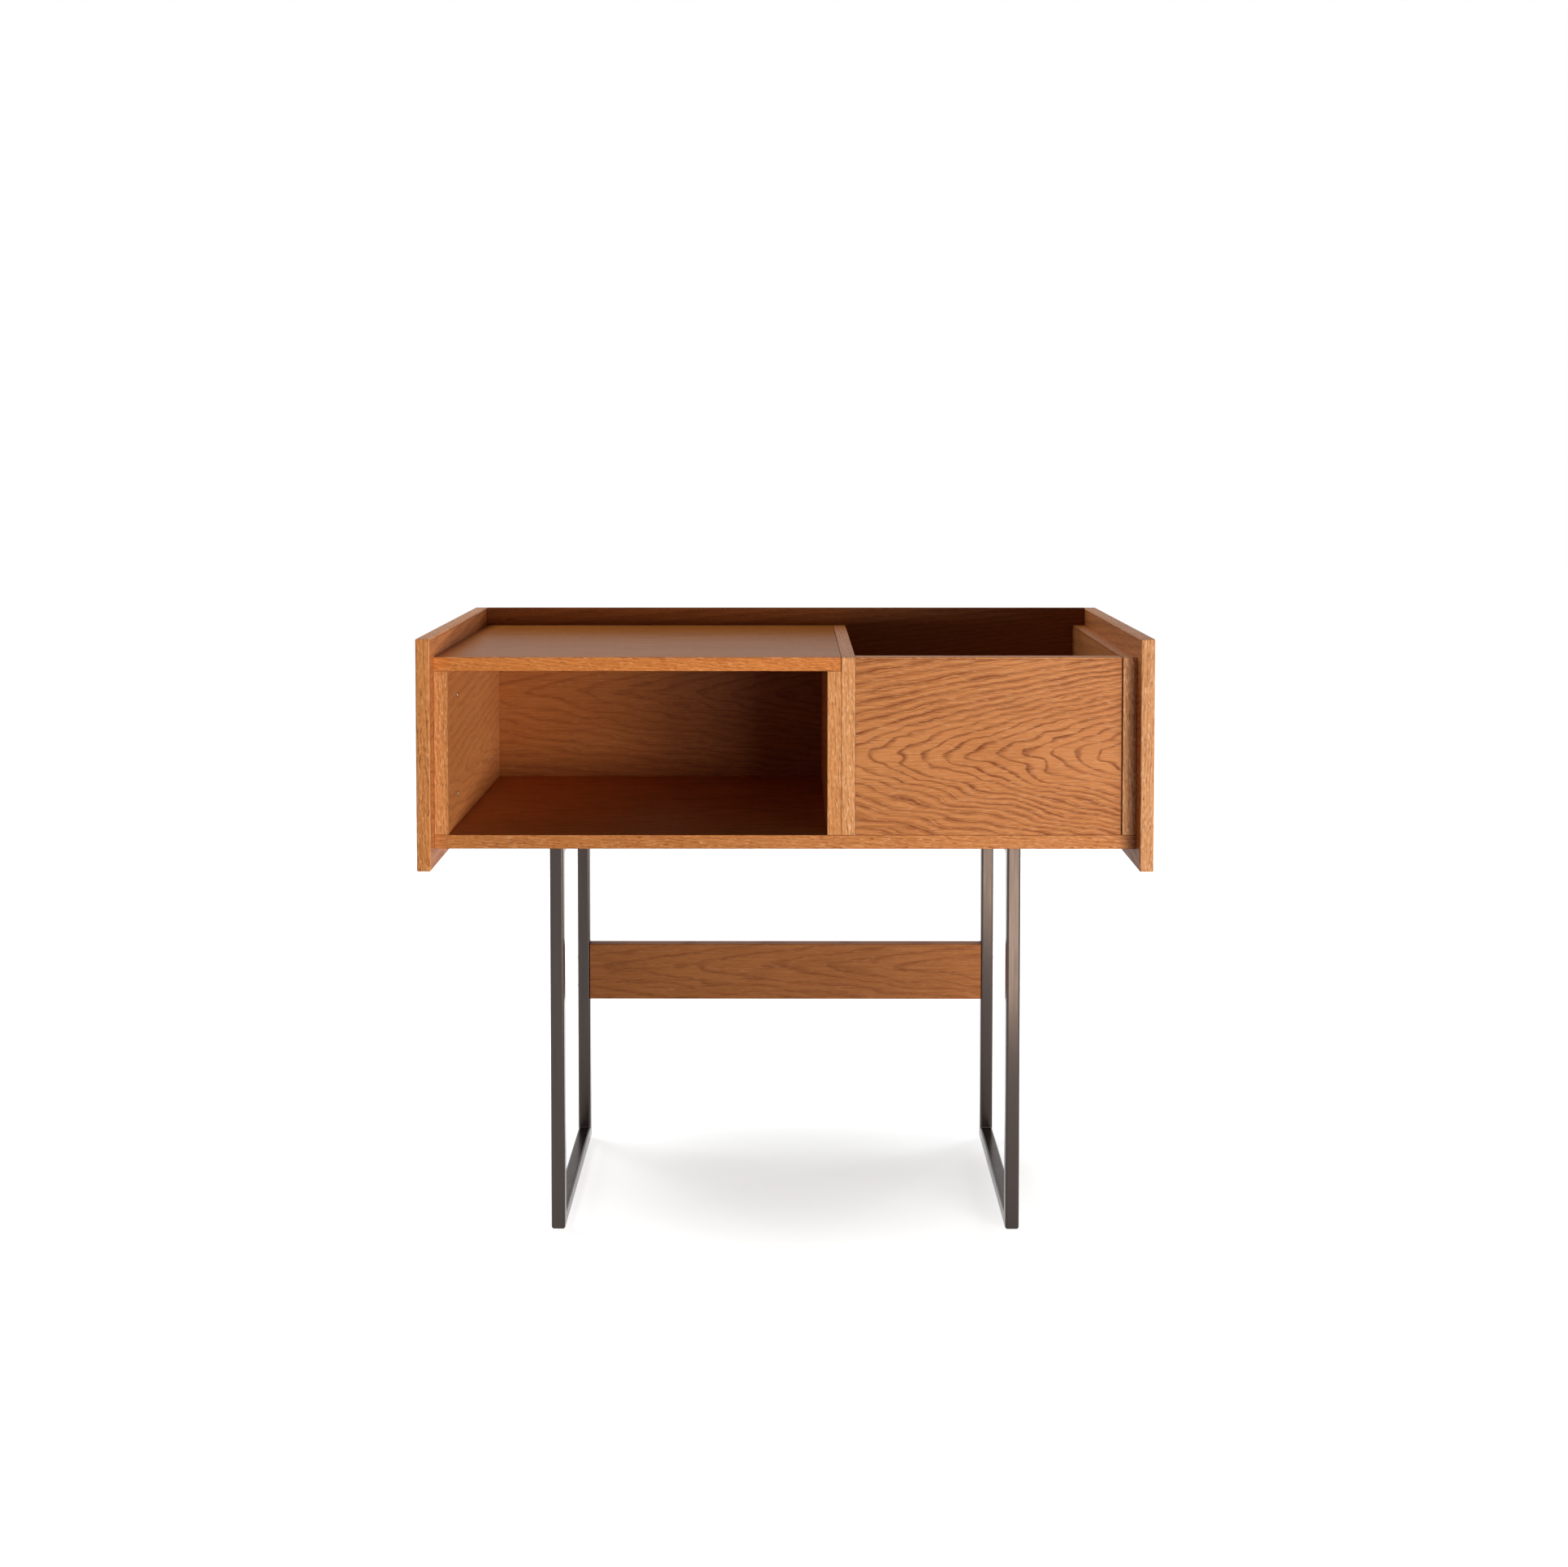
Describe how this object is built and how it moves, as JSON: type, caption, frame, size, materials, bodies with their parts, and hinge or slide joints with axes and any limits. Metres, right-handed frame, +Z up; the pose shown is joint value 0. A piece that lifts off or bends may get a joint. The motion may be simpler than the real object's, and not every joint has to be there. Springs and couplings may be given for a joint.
{
  "type": "media console",
  "caption": "Low oak media console with an open equipment bay, an open-top record bin and a raised rim, on dark steel sled leg frames joined by an oak stretcher.",
  "frame": {"origin": "on the floor, under the middle of the footprint", "axes": "+X to the right seen from the front, +Y to the back, +Z up"},
  "size_m": [0.936, 0.43, 0.787],
  "materials": {
    "oak_veneer": "satin lacquer",
    "oak_lipping": "satin lacquer",
    "oak_solid": "satin lacquer",
    "beech": "raw, fluted",
    "dark_steel": "burnished dark and waxed",
    "zinc_steel": "zinc plated",
    "black_plastic": "matt",
    "felt": "pressed felt"
  },
  "bodies": {
    "root": {"back_panel": "oak_veneer", "back_screws": "zinc_steel", "bay_left_lipping": "oak_lipping", "bay_right_lipping": "oak_lipping", "bay_upright_left": "oak_veneer", "bay_upright_right": "oak_veneer", "bin_front": "oak_veneer", "bin_front_dowels": "beech", "bin_front_lipping": "oak_lipping", "bin_left_front_lipping": "oak_lipping", "bin_left_top_lipping": "oak_lipping", "bin_right_front_lipping": "oak_lipping", "bin_right_top_lipping": "oak_lipping", "bin_wall_left": "oak_veneer", "bin_wall_right": "oak_veneer", "bottom_front_lipping": "oak_lipping", "bottom_panel": "oak_veneer", "floor_dowels": "beech", "floor_pads": "felt", "leg_bolts": "zinc_steel", "leg_frame_left": "dark_steel", "leg_frame_right": "dark_steel", "leg_inserts": "zinc_steel", "side_dowels": "beech", "side_left_bottom_lipping": "oak_lipping", "side_left_front_lipping": "oak_lipping", "side_left_rear_lipping": "oak_lipping", "side_left_top_lipping": "oak_lipping", "side_panel_left": "oak_veneer", "side_panel_right": "oak_veneer", "side_right_bottom_lipping": "oak_lipping", "side_right_front_lipping": "oak_lipping", "side_right_rear_lipping": "oak_lipping", "side_right_top_lipping": "oak_lipping", "side_screws": "zinc_steel", "stretcher": "oak_solid", "stretcher_bolts": "zinc_steel", "stretcher_inserts": "zinc_steel", "top_dowels": "beech", "top_front_lipping": "oak_lipping", "top_panel": "oak_veneer", "tube_plugs": "black_plastic"}
  },
  "joints": []
}
